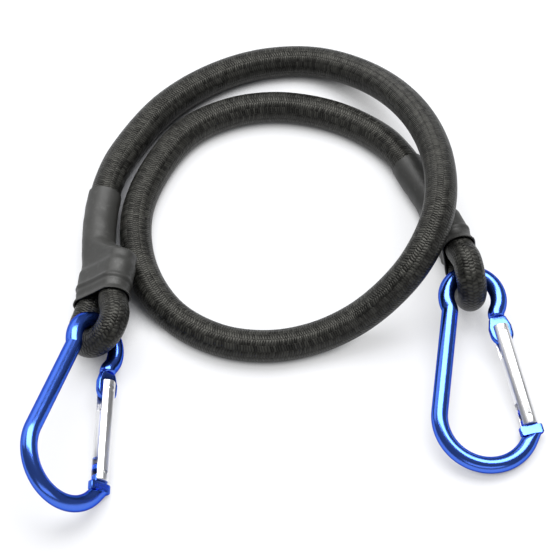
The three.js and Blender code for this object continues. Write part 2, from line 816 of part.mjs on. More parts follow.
const show = (vector) => vector.toArray().map((value) => value.toFixed(3)).join(', ');
console.log(`Cord length ${cordLength.toFixed(1)}, least gap to itself ${leastSelfGap().toFixed(2)}`);
console.log(`Centring shift ${show(bungee.position)}`);
for (const [side, frame] of [['left', leftFrame], ['right', rightFrame]]) {
  const swingAxis = frame.across.clone().negate();
  console.log(`${side} swing at ${show(frame.bar.clone().add(bungee.position))}, axis ${show(swingAxis)}`);
  const rivet = bungee.getObjectByName(`${side}_pivot_rivet`);
  const axis = new THREE.Vector3(0, 0, -1).transformDirection(rivet.matrixWorld);
  console.log(`${side} gate pivot at ${show(rivet.getWorldPosition(new THREE.Vector3()))}, axis ${show(axis)}`);
}

export default bungee;
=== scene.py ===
import bmesh
import bpy
import math
from mathutils import Matrix, Vector, noise


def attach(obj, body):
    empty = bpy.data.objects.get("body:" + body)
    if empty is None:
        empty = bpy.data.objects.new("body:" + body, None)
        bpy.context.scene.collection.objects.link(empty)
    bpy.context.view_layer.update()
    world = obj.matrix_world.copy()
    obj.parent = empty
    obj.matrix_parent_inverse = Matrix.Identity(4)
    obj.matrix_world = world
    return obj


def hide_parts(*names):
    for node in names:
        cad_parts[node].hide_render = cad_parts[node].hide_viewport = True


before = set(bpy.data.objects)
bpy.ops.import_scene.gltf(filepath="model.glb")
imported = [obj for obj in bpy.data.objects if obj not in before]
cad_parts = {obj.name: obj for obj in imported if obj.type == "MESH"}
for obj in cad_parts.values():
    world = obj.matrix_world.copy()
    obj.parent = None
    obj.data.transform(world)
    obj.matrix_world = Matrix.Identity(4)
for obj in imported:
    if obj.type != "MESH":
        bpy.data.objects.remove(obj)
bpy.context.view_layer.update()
bpy.ops.object.select_all(action="DESELECT")
scene = bpy.context.scene
mm = 0.001
print("stage: frame loaded")


# camera, at the photograph's angle
view = {"target": (-0.003663, 0.027122, 0.0), "distance": 0.8, "elevation": 57.0, "lens": 138.63,
        "sensor": 36, "near": 0.01}

camera = bpy.data.objects.new("camera", bpy.data.cameras.new("camera"))
scene.collection.objects.link(camera)
lift = math.radians(view["elevation"])
camera.location = Vector(view["target"]) + view["distance"] * Vector((0, -math.cos(lift), math.sin(lift)))
camera.rotation_euler = (math.pi / 2 - lift, 0, 0)
camera.data.lens = view["lens"]
camera.data.sensor_width = view["sensor"]
camera.data.clip_start = view["near"]
scene.camera = camera


# shader helper: wraps a socket, so that maths on shades is written as Python
class Shade:
    tree = None  # the node tree of the material that is being made

    def __init__(self, socket):
        self.socket = socket

    @classmethod
    def node(cls, kind, settings=None, sockets=None, out=0):
        made = cls.tree.nodes.new(kind)
        for name, value in (settings or {}).items():
            if name == "stops":
                ramp = made.color_ramp
                while len(ramp.elements) < len(value):
                    ramp.elements.new(0.5)
                for element, (place, colour) in zip(ramp.elements, value):
                    element.position = place
                    element.color = (*colour, 1)
            else:
                setattr(made, name, value)
        for name, value in (sockets or {}).items():
            if isinstance(value, Shade):
                cls.tree.links.new(value.socket, made.inputs[name])
            else:
                made.inputs[name].default_value = value
        return cls(made.outputs[out])

    def maths(self, operation, other=None, flip=False):
        a, b = (other, self) if flip else (self, other)
        values = {0: a} if b is None else {0: a, 1: b}
        return Shade.node("ShaderNodeMath", {"operation": operation}, values)

    def __add__(self, other):
        return self.maths("ADD", other)

    __radd__ = __add__

    def __mul__(self, other):
        return self.maths("MULTIPLY", other)

    __rmul__ = __mul__

    def __sub__(self, other):
        return self.maths("SUBTRACT", other)

    def __rsub__(self, other):
        return self.maths("SUBTRACT", other, True)

    def __gt__(self, other):
        return self.maths("GREATER_THAN", other)


def newMaterial(name, roughness, metallic=0.0, others=None):
    material = bpy.data.materials.new(name)
    material.use_nodes = True
    tree = material.node_tree
    Shade.tree = tree
    surface = tree.nodes["Principled BSDF"]
    surface.inputs["Roughness"].default_value = roughness
    surface.inputs["Metallic"].default_value = metallic
    for socket, value in (others or {}).items():
        surface.inputs[socket].default_value = value
    return material, surface


def feed(surface, socket, shade):
    Shade.tree.links.new(shade.socket, surface.inputs[socket])


def objectPlace():
    return Shade.node("ShaderNodeTexCoord", out="Object")


def noiseOf(place, facts):
    scale, detail, rough = facts
    return Shade.node("ShaderNodeTexNoise", {}, {"Vector": place, "Scale": scale, "Detail": detail,
                                                "Roughness": rough})


def fade(shade, start, end):
    # black up to start and white from end
    return Shade.node("ShaderNodeValToRGB", {"stops": [(start, (0, 0, 0)), (end, (1, 1, 1))]}, {0: shade})


def mixColour(factor, a, b):
    made = Shade.tree.nodes.new("ShaderNodeMix")
    made.data_type = "RGBA"
    for index, value in ((0, factor), (6, a), (7, b)):  # colours come in at 6 and 7, and out at 2
        if isinstance(value, Shade):
            Shade.tree.links.new(value.socket, made.inputs[index])
        else:
            made.inputs[index].default_value = value if index == 0 else (*value, 1)
    return Shade(made.outputs[2])


def bump(height, distance):
    return Shade.node("ShaderNodeBump", {}, {"Height": height, "Distance": distance})


# materials: each noise is (scale, detail, roughness), and plainRoughness is the socket's own value, under
# the linked one

# braid of the cord: short threads nearly across it, in lengthwise columns that slant to and fro, with
# painted shade in the valleys between the threads
braid = {
    "columns": 16, "pitch": 0.00092, "slant": 0.36, "wander": 0.9, "columnRound": 0.6, "columnDepth": 0.7,
    "valleyShade": (0.0006, 0.0006, 0.0006), "crest": (0.031, 0.031, 0.0282), "paleCrest": (0.09, 0.089, 0.076),
    "noise": {"wander": (420, 2, 0.5), "fibre": (4200, 2, 0.5), "patch": (75, 3, 0.5)},
    "tone": {"ridge": 0.85, "fibre": 0.4, "mark": 0.8, "less": 0.6},
    "paleSpots": {"above": 0.4, "gain": 1.3},
    "plainRoughness": 0.6, "roughness": 0.42, "crestGloss": 0.08,
    "relief": 0.00021, "ridgeRelief": 0.8, "fibreRelief": 0.2,
    "gloss": {"Specular IOR Level": 0.27, "Specular Tint": (1, 0.98, 0.9, 1)},
}


def braidMaterial():
    material, surface = newMaterial("braidedCover", braid["plainRoughness"], 0.0, braid["gloss"])
    noises, tones, paleSpots = braid["noise"], braid["tone"], braid["paleSpots"]
    uv = Shade.node("ShaderNodeUVMap", {"uv_map": "wrap"})
    column = Shade.node("ShaderNodeSeparateXYZ", {}, {0: uv}, 0) * braid["columns"]
    along = Shade.node("ShaderNodeSeparateXYZ", {}, {0: uv}, 1) * (1 / braid["pitch"])
    odd = (column * 0.5).maths("FRACT") > 0.5
    within = column.maths("FRACT")
    place = objectPlace()
    wander = noiseOf(place, noises["wander"]) * braid["wander"]
    tick = along + wander + (within - 0.5) * (odd * 2 - 1) * braid["slant"] + odd * 0.5
    thread = (tick.maths("FRACT") * math.pi).maths("SINE")
    hump = (within * math.pi).maths("SINE").maths("POWER", braid["columnRound"])
    ridge = thread * (hump * braid["columnDepth"] + (1 - braid["columnDepth"]))
    fibre = noiseOf(place, noises["fibre"])
    patch = noiseOf(place, noises["patch"])
    mark = Shade.node("ShaderNodeTexWhiteNoise", {"noise_dimensions": "2D"}, {
        0: Shade.node("ShaderNodeCombineXYZ", {}, {0: column.maths("FLOOR"), 1: tick.maths("FLOOR")})})
    tone = ridge * tones["ridge"] + fibre * tones["fibre"] + mark * tones["mark"] - tones["less"]
    # painted shade: the threads' ridges take the colour from near black in the valleys to the crest colour;
    # fibre and marks vary it at random
    dark = mixColour(tone, braid["valleyShade"], braid["crest"])
    # paler colour on the thread crests, in patches
    paleOnCrests = (patch - paleSpots["above"]) * paleSpots["gain"] * ridge * mark
    height = ridge * braid["ridgeRelief"] + fibre * braid["fibreRelief"]
    feed(surface, "Base Color", mixColour(paleOnCrests, dark, braid["paleCrest"]))
    feed(surface, "Roughness", braid["roughness"] - ridge * braid["crestGloss"])
    feed(surface, "Normal", bump(height, braid["relief"]))
    return material


# shrunk sleeve: dark grey plastic, cloudy, streaked and a little scuffed
shrink = {
    "dark": (0.022, 0.022, 0.0203), "light": (0.034, 0.034, 0.0318), "scuffed": (0.08, 0.08, 0.075),
    "noise": {"grain": (1500, 4, 0.6), "cloud": (110, 3, 0.5), "streak": (320, 2, 0.5),
              "scuff": (420, 5, 0.65)},
    "scuffFrom": 0.56, "scuffTo": 0.72, "scuff": 0.4,
    "plainRoughness": 0.5, "roughness": 0.42, "streakRoughness": 0.16,
    "relief": 0.00012, "grainRelief": 0.35, "streakRelief": 0.4,
    "gloss": {"Specular IOR Level": 0.45},
}


def sleeveMaterial():
    material, surface = newMaterial("shrunkSleeve", shrink["plainRoughness"], 0.0, shrink["gloss"])
    noises = shrink["noise"]
    place = objectPlace()
    grain = noiseOf(place, noises["grain"])
    cloud = noiseOf(place, noises["cloud"])
    streak = noiseOf(place, noises["streak"])
    scuff = fade(noiseOf(place, noises["scuff"]), shrink["scuffFrom"], shrink["scuffTo"])
    grey = mixColour(cloud, shrink["dark"], shrink["light"])
    height = grain * shrink["grainRelief"] + streak * shrink["streakRelief"]
    feed(surface, "Base Color", mixColour(scuff * shrink["scuff"], grey, shrink["scuffed"]))
    feed(surface, "Roughness", shrink["roughness"] + streak * shrink["streakRoughness"])
    feed(surface, "Normal", bump(height, shrink["relief"]))
    return material


# blue anodised aluminium: cloudy, finely grained and thinly scratched
blueCoat = {
    "deep": (0.06, 0.15, 0.68), "bright": (0.085, 0.19, 0.76), "roughness": 0.21, "relief": 0.000012,
    "noise": {"cloud": (60, 3, 0.5), "grain": (2600, 3, 0.6), "scratch": (900, 6, 0.7)},
    "scratchFrom": 0.6, "scratchTo": 0.66,
    "smoother": 0.03, "grainRoughness": 0.05, "scratchRoughness": 0.05,
    "gloss": {"Coat Weight": 0.12, "Coat Roughness": 0.08, "Specular Tint": (0.05, 0.1, 0.4, 1)},
}


def anodisedMaterial():
    material, surface = newMaterial("blueAnodised", blueCoat["roughness"], 1.0, blueCoat["gloss"])
    noises = blueCoat["noise"]
    place = objectPlace()
    cloud = noiseOf(place, noises["cloud"])
    grain = noiseOf(place, noises["grain"])
    scratch = fade(noiseOf(place, noises["scratch"]), blueCoat["scratchFrom"], blueCoat["scratchTo"])
    rough = blueCoat["roughness"] - blueCoat["smoother"] + grain * blueCoat["grainRoughness"]
    feed(surface, "Base Color", mixColour(cloud, blueCoat["deep"], blueCoat["bright"]))
    feed(surface, "Roughness", rough + scratch * blueCoat["scratchRoughness"])
    feed(surface, "Normal", bump(grain, blueCoat["relief"]))
    return material


# bare metal of the gates and the small parts
metal = {
    "silver": {"name": "gateSilver", "colour": (0.88, 0.88, 0.885), "roughness": 0.33},
    "steel": {"name": "brightSteel", "colour": (0.62, 0.62, 0.63), "roughness": 0.3},
    "stain": 0.85, "smoother": 0.05, "uneven": 0.12, "relief": 0.00001,
    "noise": {"stain": (300, 4, 0.5), "uneven": (1400, 3, 0.5), "grain": (2400, 3, 0.5)},
}


def metalMaterial(finish):
    facts, noises = metal[finish], metal["noise"]
    material, surface = newMaterial(facts["name"], facts["roughness"], 1.0)
    place = objectPlace()
    stained = tuple(c * metal["stain"] for c in facts["colour"])
    uneven = noiseOf(place, noises["uneven"]) * metal["uneven"]
    feed(surface, "Base Color", mixColour(noiseOf(place, noises["stain"]), stained, facts["colour"]))
    feed(surface, "Roughness", facts["roughness"] + uneven - metal["smoother"])
    feed(surface, "Normal", bump(noiseOf(place, noises["grain"]), metal["relief"]))
    return material


looks = {"braid": braidMaterial(), "sleeve": sleeveMaterial(), "blue": anodisedMaterial(),
         "silver": metalMaterial("silver"), "steel": metalMaterial("steel")}
print("stage: materials made")


# mesh helpers
def newMesh(name, points, faces):
    mesh = bpy.data.meshes.new(name)
    mesh.from_pydata([tuple(p) for p in points], [], faces)
    shape = bmesh.new()
    shape.from_mesh(mesh)
    if shape.calc_volume(signed=True) < 0:  # inside out
        bmesh.ops.reverse_faces(shape, faces=shape.faces)
        shape.to_mesh(mesh)
    shape.free()
    return mesh


def smoothByAngle(piece, angle):
    bpy.ops.object.select_all(action="DESELECT")
    bpy.context.view_layer.objects.active = piece
    piece.select_set(True)
    bpy.ops.object.shade_smooth_by_angle(angle=math.radians(angle))
    piece.select_set(False)


def addPiece(name, points, faces, look, body, smoothAngle=None):
    mesh = newMesh(name, points, faces)
    piece = bpy.data.objects.new(name, mesh)
    scene.collection.objects.link(piece)
    mesh.materials.append(look)
    mesh.shade_smooth()
    if smoothAngle is not None:
        smoothByAngle(piece, smoothAngle)
    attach(piece, body)
    return piece


def loft(rings, wraps=False):
    # skin over rings of the same count, with caps, or closed on itself where it wraps
    count = len(rings[0])
    points = [p for ring in rings for p in ring]
    faces = []
    rows = len(rings) if wraps else len(rings) - 1
    for row in range(rows):
        here, there = row * count, ((row + 1) % len(rings)) * count
        for k in range(count):
            nextK = (k + 1) % count
            faces.append((here + k, here + nextK, there + nextK, there + k))
    if not wraps:
        last = (len(rings) - 1) * count
        faces.append(tuple(reversed(range(count))))
        faces.append(tuple(range(last, last + count)))
    return points, faces


def smooth(share):
    share = min(1.0, max(0.0, share))
    return share * share * (3 - 2 * share)


# cord: the route's points from the left tail end to the right one, with the cover's radius
cordFacts = {"diameter": 0.012, "sides": 40, "step": 0.0009, "perSpan": 40}
route = [
    (-0.06138, 0.02477, 0.01605, 0.00558), (-0.06303, 0.01491, 0.01617, 0.0051),
    (-0.06358, 0.00996, 0.01627, 0.0051), (-0.06297, 0.00441, 0.01733, 0.00535),
    (-0.06221, -0.00117, 0.01844, 0.00535), (-0.06451, -0.00702, 0.01675, 0.00535),
    (-0.06908, -0.00915, 0.01265, 0.00535), (-0.07327, -0.00633, 0.00855, 0.00535),
    (-0.07461, -0.00019, 0.00685, 0.00535), (-0.07298, 0.0052, 0.00795, 0.00535),
    (-0.07142, 0.0106, 0.00894, 0.00511), (-0.07091, 0.0156, 0.00881, 0.0051),
    (-0.06996, 0.02555, 0.00804, 0.00558), (-0.07046, 0.03912, 0.0075, 0.0057),
    (-0.07006, 0.05122, 0.007, 0.0057), (-0.06776, 0.06592, 0.0069, 0.0057),
    (-0.06286, 0.07962, 0.0057, 0.006), (-0.04826, 0.10192, 0.0054, 0.006),
    (-0.02966, 0.11672, 0.0054, 0.006), (-0.00916, 0.12472, 0.0054, 0.006),
    (0.01224, 0.12502, 0.006, 0.006), (0.03254, 0.11242, 0.0119, 0.006),
    (0.04834, 0.08792, 0.0226, 0.006), (0.05604, 0.05832, 0.0314, 0.006),
    (0.05484, 0.03272, 0.0336, 0.006), (0.04694, 0.01592, 0.0284, 0.006),
    (0.03614, 0.00712, 0.0184, 0.006), (0.02364, 0.00142, 0.0096, 0.006),
    (0.00904, -0.00358, 0.0057, 0.006), (-0.00726, -0.00648, 0.0054, 0.006),
    (-0.02506, -0.00378, 0.0054, 0.006), (-0.04226, 0.00702, 0.0054, 0.006),
    (-0.05386, 0.02672, 0.0054, 0.006), (-0.05676, 0.05122, 0.0054, 0.006),
    (-0.04966, 0.07382, 0.0054, 0.006), (-0.03766, 0.09112, 0.0054, 0.006),
    (-0.02186, 0.10012, 0.0054, 0.006), (-0.00606, 0.10302, 0.0054, 0.006),
    (0.00874, 0.10152, 0.0054, 0.006), (0.02294, 0.09662, 0.0054, 0.006),
    (0.03634, 0.08762, 0.0057, 0.006), (0.04344, 0.07872, 0.0068, 0.0057),
    (0.04954, 0.06712, 0.0071, 0.0057), (0.05514, 0.05552, 0.0073, 0.0057),
    (0.05875, 0.04253, 0.00765, 0.00558), (0.06266, 0.03341, 0.00911, 0.0051),
    (0.06417, 0.02863, 0.00957, 0.00511), (0.06522, 0.02312, 0.00846, 0.00535),
    (0.06591, 0.01753, 0.00723, 0.00535), (0.06708, 0.01184, 0.01016, 0.00535),
    (0.0674, 0.00983, 0.01634, 0.00535), (0.06668, 0.01267, 0.02215, 0.00535),
    (0.06536, 0.01871, 0.02417, 0.00535), (0.06371, 0.02384, 0.0221, 0.00535),
    (0.06215, 0.02898, 0.02012, 0.0051), (0.06054, 0.03366, 0.0197, 0.0051),
    (0.05638, 0.04273, 0.01917, 0.00558),
]


def knotted(a, b, c, d, t):
    # centripetal spline from b to c
    gaps = [max(1e-6, (q - p).length ** 0.5) for p, q in ((a, b), (b, c), (c, d))]
    leave = ((b - a) / gaps[0] - (c - a) / (gaps[0] + gaps[1]) + (c - b) / gaps[1]) * gaps[1]
    arrive = ((c - b) / gaps[1] - (d - b) / (gaps[1] + gaps[2]) + (d - c) / gaps[2]) * gaps[1]
    cubic = 2 * b - 2 * c + leave + arrive
    square = -3 * b + 3 * c - 2 * leave - arrive
    return ((cubic * t + square) * t + leave) * t + b


def sampleRoute():
    # (point, distance gone, radius) along the whole cord
    perSpan = cordFacts["perSpan"]
    knots = [Vector(p[:3]) for p in route]
    before = [2 * knots[0] - knots[1]] + knots
    after = knots + [2 * knots[-1] - knots[-2]]
    line = []
    for i in range(len(knots) - 1):
        for k in range(perSpan + (i == len(knots) - 2)):
            t = k / perSpan
            point = knotted(before[i], knots[i], knots[i + 1], after[i + 2], t)
            radius = route[i][3] * (1 - smooth(t)) + route[i + 1][3] * smooth(t)
            gone = line[-1][1] + (point - line[-1][0]).length if line else 0.0
            line.append((point, gone, radius))
    return line


cordLine = sampleRoute()
cordLength = cordLine[-1][1]


def knotPlace(knot):
    # how far along the cord a point of the route is
    return cordLine[knot * cordFacts["perSpan"]][1]


def cordAt(distance):
    # point, radius and direction
    distance = min(max(distance, 0.0), cordLength)
    low, high = 0, len(cordLine) - 1
    while high - low > 1:
        middle = (low + high) // 2
        if cordLine[middle][1] > distance:
            high = middle
        else:
            low = middle
    a, b = cordLine[low], cordLine[high]
    share = (distance - a[1]) / max(1e-9, b[1] - a[1])
    return a[0].lerp(b[0], share), a[2] + (b[2] - a[2]) * share, (b[0] - a[0]).normalized()


def makeCord():
    steps = int(cordLength / cordFacts["step"])
    sides = cordFacts["sides"]
    rings, wraps, line = [], [], []
    side = None
    for i in range(steps + 1):
        distance = cordLength * i / steps
        point, radius, tangent = cordAt(distance)
        if side is None:
            side = tangent.cross(Vector((0, 0, 1))).normalized()
        else:
            side = (side - tangent * side.dot(tangent)).normalized()  # carried along without twist
        top = side.cross(tangent)
        ring = []
        for k in range(sides):
            angle = 2 * math.pi * k / sides
            spot = point + radius * (math.cos(angle) * side + math.sin(angle) * top)
            spot.z = max(spot.z, 0.0)  # flattened where it lies on the ground
            ring.append(spot)
        rings.append(ring)
        wraps.append(distance)
        line.append(point)
    points, faces = loft([list(reversed(ring)) for ring in rings])
    piece = addPiece("cordCover", points, faces, looks["braid"], "cord")
    uv = piece.data.uv_layers.new(name="wrap")  # round the cord, and metres along it
    for face in piece.data.polygons:
        corners = [piece.data.loops[i].vertex_index for i in face.loop_indices]
        columns = [(sides - 1 - v % sides) for v in corners]
        seam = max(columns) - min(columns) > 1 and len(corners) == 4
        for loop, v, column in zip(face.loop_indices, corners, columns):
            if seam and column == 0:
                column = sides
            uv.data[loop].uv = (column / sides, wraps[v // sides])
    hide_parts("cord_cover", "rubber_core")
    [tuple(p) for p in line[::6]] + [tuple(line[-1])]


makeCord()
print("stage: cord, length", round(cordLength, 4))


# sleeves, shrunk over the folded ends and the crimp bands
# along is 0 where the tail starts beside the main leg, and grows towards the mouth
sleeve = {
    "single": 0.034, "legs": 0.026,  # over the single cord, and both legs with their bare part
    "wall": 0.00045, "gap": 0.0002, "offGround": 0.0001,
    "shoulder": 0.0105, "ahead": 0.0006, "drape": 1.5,  # how it widens over the tail's end
    "waist": 0.07, "handover": 0.7,  # how it sinks between the two legs
    "band": {"start": 0.005, "end": 0.013, "ramp": 0.003, "bulge": 0.00075},
    "flare": {"start": 0.0135, "ramp": 0.004, "rise": 0.0007},
    "crease": {"before": 0.0062, "width": 0.0007, "rise": 0.00045, "dipAt": 1.8, "dip": 0.5},
    "rim": {"wall": 0.55, "ramp": 0.0006, "lip": 0.03, "lipRamp": 0.0012},
    "wave": {"height": 0.00018, "scale": 210},
    "sides": 72, "step": 0.0006, "smoothAngle": 50,
}
sleeveSides = {  # turn is the way along the cord from along 0 to the eye
    "left": {"main": knotPlace(12), "tail": 0.0, "turn": -1, "bare": 0.0088},
    "right": {"main": knotPlace(44), "tail": cordLength, "turn": 1, "bare": 0.0078},
}


def mouthOf(side):
    return sleeve["legs"] - sleeveSides[side]["bare"]


def legPair(side, along):
    # the main leg, and how the tail lies beside it
    facts = sleeveSides[side]
    turn = facts["turn"]
    point, radius, mainWay = cordAt(facts["main"] + turn * along)
    beside, _, _ = cordAt(facts["main"] + turn * max(along, 0))
    tail, _, tailWay = cordAt(facts["tail"] - turn * max(along, 0))
    out = (turn * mainWay - turn * tailWay * smooth(1 + along / sleeve["shoulder"])).normalized()
    gap = tail - beside
    gap -= tailWay * (gap.dot(out) / tailWay.dot(out))
    stretches = 1 / abs(mainWay.dot(out)), 1 / abs(tailWay.dot(out))
    return point, radius, out, gap.normalized(), gap.length, stretches


def sleeveRing(side, along, inner):
    point, radius, out, toTail, spread, (mainStretch, tailStretch) = legPair(side, along)
    band, flare, crease, rim, wave = (sleeve[part] for part in ("band", "flare", "crease", "rim", "wave"))
    mouth, ahead = mouthOf(side), sleeve["ahead"]
    share = min(1.0, max(0.0, 1 + (along + ahead) / (sleeve["shoulder"] - ahead))) ** sleeve["drape"]
    radius += sleeve["gap"]
    radius += band["bulge"] * smooth(1 + min(along - band["start"], band["end"] - along) / band["ramp"])
    radius += flare["rise"] * smooth((along - flare["start"]) / flare["ramp"])
    fold = (along - mouth + crease["before"]) / crease["width"]
    dip = crease["dip"] * math.exp(-(fold - crease["dipAt"]) ** 2)
    radius += crease["rise"] * (math.exp(-fold * fold) - dip)
    if not inner:
        radius += sleeve["wall"] * (rim["wall"] + (1 - rim["wall"]) * smooth((mouth - along) / rim["ramp"]))
        radius *= 1 + rim["lip"] * smooth((along - mouth + rim["lipRamp"]) / rim["lipRamp"])
    upright = out.cross(toTail)
    ring = []
    for k in range(sleeve["sides"]):
        angle = 2 * math.pi * (k + 0.5) / sleeve["sides"]
        c, s = math.cos(angle), math.sin(angle)
        over = smooth(0.5 + c / sleeve["handover"])  # 0 on the main leg's side, 1 on the tail's
        stretch = mainStretch + (tailStretch - mainStretch) * over
        waist = 1 - sleeve["waist"] * share * 4 * over * (1 - over)
        beside = spread * share * over + radius * stretch * c
        spot = point + toTail * beside + upright * (radius * waist * s)
        if not inner:
            spot += (spot - point).normalized() * wave["height"] * noise.noise(spot * wave["scale"])
        spot.z = max(spot.z, sleeve["offGround"])
        ring.append(spot)
    return ring


def makeSleeve(side):
    length = mouthOf(side) + sleeve["single"]
    steps = int(length / sleeve["step"])
    alongs = [-sleeve["single"] + length * i / steps for i in range(steps + 1)]
    outer = [sleeveRing(side, a, False) for a in alongs]
    inner = [sleeveRing(side, a, True) for a in alongs]
    points, faces = loft(outer + list(reversed(inner)), True)
    piece = addPiece(side + "Sleeve", points, faces, looks["sleeve"], "cord",
                     sleeve["smoothAngle"])
    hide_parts(side + "_sleeve")


for side in ("left", "right"):
    makeSleeve(side)
print("stage: sleeves")


# carabiners, in mm: drawn with X to the gate side, Y to the small lobe and Z through the opening
carabiner = {
    "barRadius": 3.0, "largeRadius": 17.0, "smallRadius": 9.8, "lobeSpacing": 47.2, "limbLean": 11.2,
    "bendRadius": 3.3, "tab": 2.4, "rivetHole": 1.5, "notch": 1.1, "notchLength": 5, "noseLength": 3.0,
    "sides": 48, "lobeSteps": 48, "bendSteps": 10, "limbSteps": 12, "holeSides": 32, "notchSides": 16,
    "cutHalf": 4, "smoothAngle": 38,
}
gate = {
    "radius": 3.15, "lean": 10.25, "offset": 15.2, "top": 34.205, "bottom": -4.895,
    "pivotStep": 38.105, "noseStep": -8.695,  # heights at which the round bar meets the tabs
    "rivet": 3.3, "pin": 3.0, "rivetHole": 1.25, "pinHole": 0.85,
    "slot": 3.0, "pivotSlot": 9.3, "noseSlot": 8.6, "boreRadius": 1.7, "boreEnd": 23.3,
    "chamfer": 0.45, "chamferSteps": 4, "edge": 0.13, "edgeAngle": 50, "edgeSegments": 2,
    "sides": 72, "holeSides": 32, "cutHalf": 5, "cutPast": 1, "smoothAngle": 30,
}
tabs = {
    "pivotHalf": 4.2, "noseHalf": 4.3, "hookHalf": 2.7, "hookLength": 4.6, "collarGap": 0.3,
    "tipRings": 8, "tipStart": 0.3, "endRings": 11, "endSteps": 10.4,
}
places = {  # where each one lies, in metres
    "left": {"at": (-0.07657, -0.057, 0.01514), "x": (0.6936, -0.14776, -0.70504),
             "y": (0.15427, 0.9865, -0.05499), "z": (0.70365, -0.07063, 0.70703)},
    "right": {"at": (0.07078, -0.03782, 0.0066), "x": (0.98559, 0.08852, -0.14413),
              "y": (-0.06565, 0.98552, 0.15632), "z": (0.15589, -0.1446, 0.97713)},
}


def placeOf(side):
    place = places[side]
    turn = Matrix([place["x"], place["y"], place["z"]]).transposed().to_4x4()
    return Matrix.Translation(place["at"]) @ turn @ Matrix.Scale(mm, 4)


def turned(x, y, angle):
    return Vector((x * math.cos(angle) - y * math.sin(angle), x * math.sin(angle) + y * math.cos(angle)))


gateAngle = math.radians(gate["lean"] - 90)
gateUp = turned(-1, 0, gateAngle)
gateOut = turned(0, 1, gateAngle)


def onGate(height):
    return gateUp * height + gateOut * gate["offset"]


rivetSpot = onGate(gate["top"] - gate["rivet"])
pinSpot = onGate(gate["bottom"] + gate["pin"])


def barStations():
    # (point, heading) along the bar's middle, from the nose round the large lobe to the pivot
    large, small, bend = carabiner["largeRadius"], carabiner["smallRadius"], carabiner["bendRadius"]
    lobeSteps, bendSteps = carabiner["lobeSteps"], carabiner["bendSteps"]
    lean = math.radians(carabiner["limbLean"])
    centre = Vector((0, carabiner["lobeSpacing"]))
    limbUp = Vector((math.sin(lean), math.cos(lean)))
    limbOut = Vector((-math.cos(lean), math.sin(lean)))
    stations = []

    def arc(middle, radius, start, end, turn, steps, skip=0):
        for k in range(skip, steps + 1):
            angle = start + (end - start) * k / steps
            stations.append((middle + turned(radius, 0, angle), angle + turn * math.pi / 2))

    nose = onGate(gate["noseStep"])
    noseAngle = math.atan2(nose.y, nose.x) - carabiner["noseLength"] / large
    arc(Vector((0, 0)), large, noseAngle, -math.pi - lean, -1, lobeSteps)
    height = centre.dot(limbUp) - math.sqrt((small + bend) ** 2 - (large - centre.dot(limbOut) + bend) ** 2)
    middle = limbUp * height + limbOut * (large + bend)
    touch = math.atan2((middle - centre).y, (middle - centre).x) % (2 * math.pi)
    start = limbOut * large
    for k in range(1, carabiner["limbSteps"]):  # the straight limb
        share = k / carabiner["limbSteps"]
        stations.append((start.lerp(start + limbUp * height, share), math.pi / 2 - lean))
    arc(middle, bend, -lean, touch - math.pi, 1, bendSteps)
    gateBend = onGate(gate["pivotStep"]) + gateOut * bend
    gateTouch = math.atan2((gateBend - centre).y, (gateBend - centre).x) % (2 * math.pi) - 2 * math.pi
    arc(centre, small, touch, gateTouch, -1, lobeSteps, 1)
    arc(gateBend, bend, gateTouch + math.pi, math.radians(gate["lean"]) + math.pi, 1, bendSteps, 1)
    return stations


def section(point, heading, half, thick, square):
    # half is across and thick is through; square: 2 is round, larger is more like a rectangle
    across = turned(0, 1, heading)
    ring = []
    for k in range(carabiner["sides"]):
        angle = 2 * math.pi * (k + 0.5) / carabiner["sides"]
        c, s = math.cos(angle), math.sin(angle)
        x = half * math.copysign(abs(c) ** (2 / square), c)
        z = thick * math.copysign(abs(s) ** (2 / square), s)
        ring.append(Vector((point.x + across.x * x, point.y + across.y * x, z)))
    return ring


def carabinerRings():
    bar, flat = carabiner["barRadius"], carabiner["tab"] / 2
    hook, wide, half = tabs["hookHalf"], tabs["noseHalf"], tabs["pivotHalf"]
    hookTop = gate["bottom"] + gate["pin"] + tabs["hookLength"] - hook
    collarTop = gate["bottom"] - tabs["collarGap"]
    noseStep, pivotStep = gate["noseStep"], gate["pivotStep"]

    rows = []  # height on the gate's line, half width, half thickness, square
    for k in range(tabs["tipRings"]):  # the hook's round tip
        angle = math.pi / 2 * (1 - (k + tabs["tipStart"]) / (tabs["tipRings"] + tabs["tipStart"]))
        rows.append((hookTop + hook * math.sin(angle), hook * math.cos(angle), flat, 7))
    rows += [
        (hookTop, hook, flat, 8),  # the flat hook, down to the collar
        (collarTop + 0.03, hook, flat, 8),
        (collarTop, wide - 0.35, flat, 9),  # the collar, with a rounded edge
        (collarTop - 0.35, wide, flat, 10),
        (noseStep + 0.5, wide, flat, 10),
        (noseStep + 0.12, wide - 0.3, flat + 0.1, 7),
        (noseStep, bar - 0.55, bar - 0.6, 2.4),  # the round bar starts, with a rounded edge
        (noseStep - 0.5, bar - 0.08, bar - 0.1, 2),
    ]
    rings = [section(onGate(height), gateAngle, *sizes) for height, *sizes in rows]
    rings += [section(point, heading, bar, bar, 2) for point, heading in barStations()]
    rows = [
        (pivotStep - 0.2, bar - 0.1, bar - 0.12, 2),  # the round bar ends, with a rounded edge
        (pivotStep - 0.55, bar - 0.5, bar - 0.7, 2.4),
        (pivotStep - 0.75, bar - 0.1, flat + 0.1, 7),
        (pivotStep - 1.1, bar + 0.1, flat, 9),  # the flat tab
        (gate["top"] + 0.6, half - 0.4, flat, 9),
        (gate["top"] - 0.6, half, flat, 9),
    ]
    for k in range(tabs["endRings"]):  # the tab's round end, about the rivet
        angle = math.pi / 2 * k / tabs["endSteps"]
        rows.append((gate["top"] - gate["rivet"] - half * math.sin(angle), half * math.cos(angle), flat, 7))
    return rings + [section(onGate(height), gateAngle, *sizes) for height, *sizes in rows]


def makeDraft(name, points, faces):
    draft = bpy.data.objects.new(name, newMesh(name, points, faces))
    scene.collection.objects.link(draft)
    return draft


def prism(outline, half):
    rings = [[Vector((x, y, z)) for x, y in outline] for z in (-half, half)]
    return makeDraft("cutter", *loft(rings))


